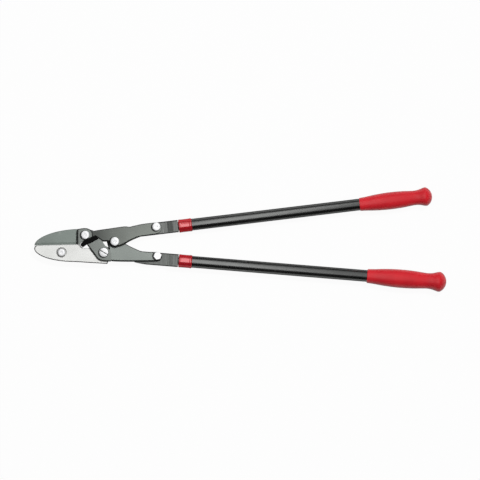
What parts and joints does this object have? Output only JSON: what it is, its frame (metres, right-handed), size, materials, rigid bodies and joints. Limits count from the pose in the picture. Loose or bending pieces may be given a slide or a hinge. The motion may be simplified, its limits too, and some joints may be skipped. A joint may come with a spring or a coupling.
{
  "type": "anvil lopper",
  "caption": "Long two-handed anvil lopper with a compound linkage: coated blade closing on a bright metal anvil, black tube handles, red collars and flared red grips.",
  "frame": {"origin": "bottom centre of the whole tool's box, the tool lying on its back", "axes": "+X from the cutting head towards the grips, +Y towards the upper handle, +Z out of the front face, the one with the bolt heads"},
  "size_m": [0.8242, 0.209, 0.04],
  "materials": {
    "blade_coating": "satin",
    "lever_coating": "satin",
    "neck_coating": "satin",
    "anvil_aluminium": "satin",
    "bright_zinc": "bright",
    "black_gloss": "gloss",
    "red_gloss": "gloss",
    "red_grip": "satin",
    "black_rubber": "matte"
  },
  "bodies": {
    "lower_handle": {"lower_lever": "lever_coating", "link_rivet": "bright_zinc", "lower_neck": "neck_coating", "lower_neck_bolt": "bright_zinc", "lower_neck_nut": "bright_zinc", "lower_ferrule": "red_gloss", "lower_tube": "black_gloss", "lower_grip": "red_grip"},
    "upper_handle": {"upper_lever": "lever_coating", "handle_bolt": "bright_zinc", "handle_nut": "bright_zinc", "upper_neck": "neck_coating", "upper_neck_bolt": "bright_zinc", "upper_neck_nut": "bright_zinc", "upper_ferrule": "red_gloss", "upper_tube": "black_gloss", "upper_grip": "red_grip"},
    "blade_side": {"blade": "blade_coating", "front_link": "lever_coating", "back_link": "lever_coating", "rubber_buffer": "black_rubber", "blade_bolt": "bright_zinc", "blade_nut": "bright_zinc", "blade_spacer": "bright_zinc"},
    "anvil_side": {"anvil_jaw": "anvil_aluminium", "anvil_arm": "lever_coating", "anvil_bolt": "bright_zinc", "anvil_nut": "bright_zinc", "main_bolt": "bright_zinc", "main_nut": "bright_zinc"}
  },
  "joints": [
    {"name": "upper_handle_swing", "type": "hinge", "parent": "lower_handle", "child": "upper_handle", "pos_m": [-0.25092, -0.00354, 0.02001], "axis": [0, 0, 1], "range_deg": [0, 45]},
    {"name": "blade_swing", "type": "hinge", "parent": "upper_handle", "child": "blade_side", "pos_m": [-0.31012, 0.00926, 0.02001], "axis": [0, 0, 1], "range_deg": [-37.5, 0]},
    {"name": "anvil_swing", "type": "hinge", "parent": "blade_side", "child": "anvil_side", "pos_m": [-0.27292, -0.02554, 0.02001], "axis": [0, 0, 1], "range_deg": [0, 37.5]}
  ],
  "couplings": [
    {"joint": "blade_swing", "follows": "upper_handle_swing", "ratio": -0.832},
    {"joint": "anvil_swing", "follows": "upper_handle_swing", "ratio": 0.83}
  ]
}
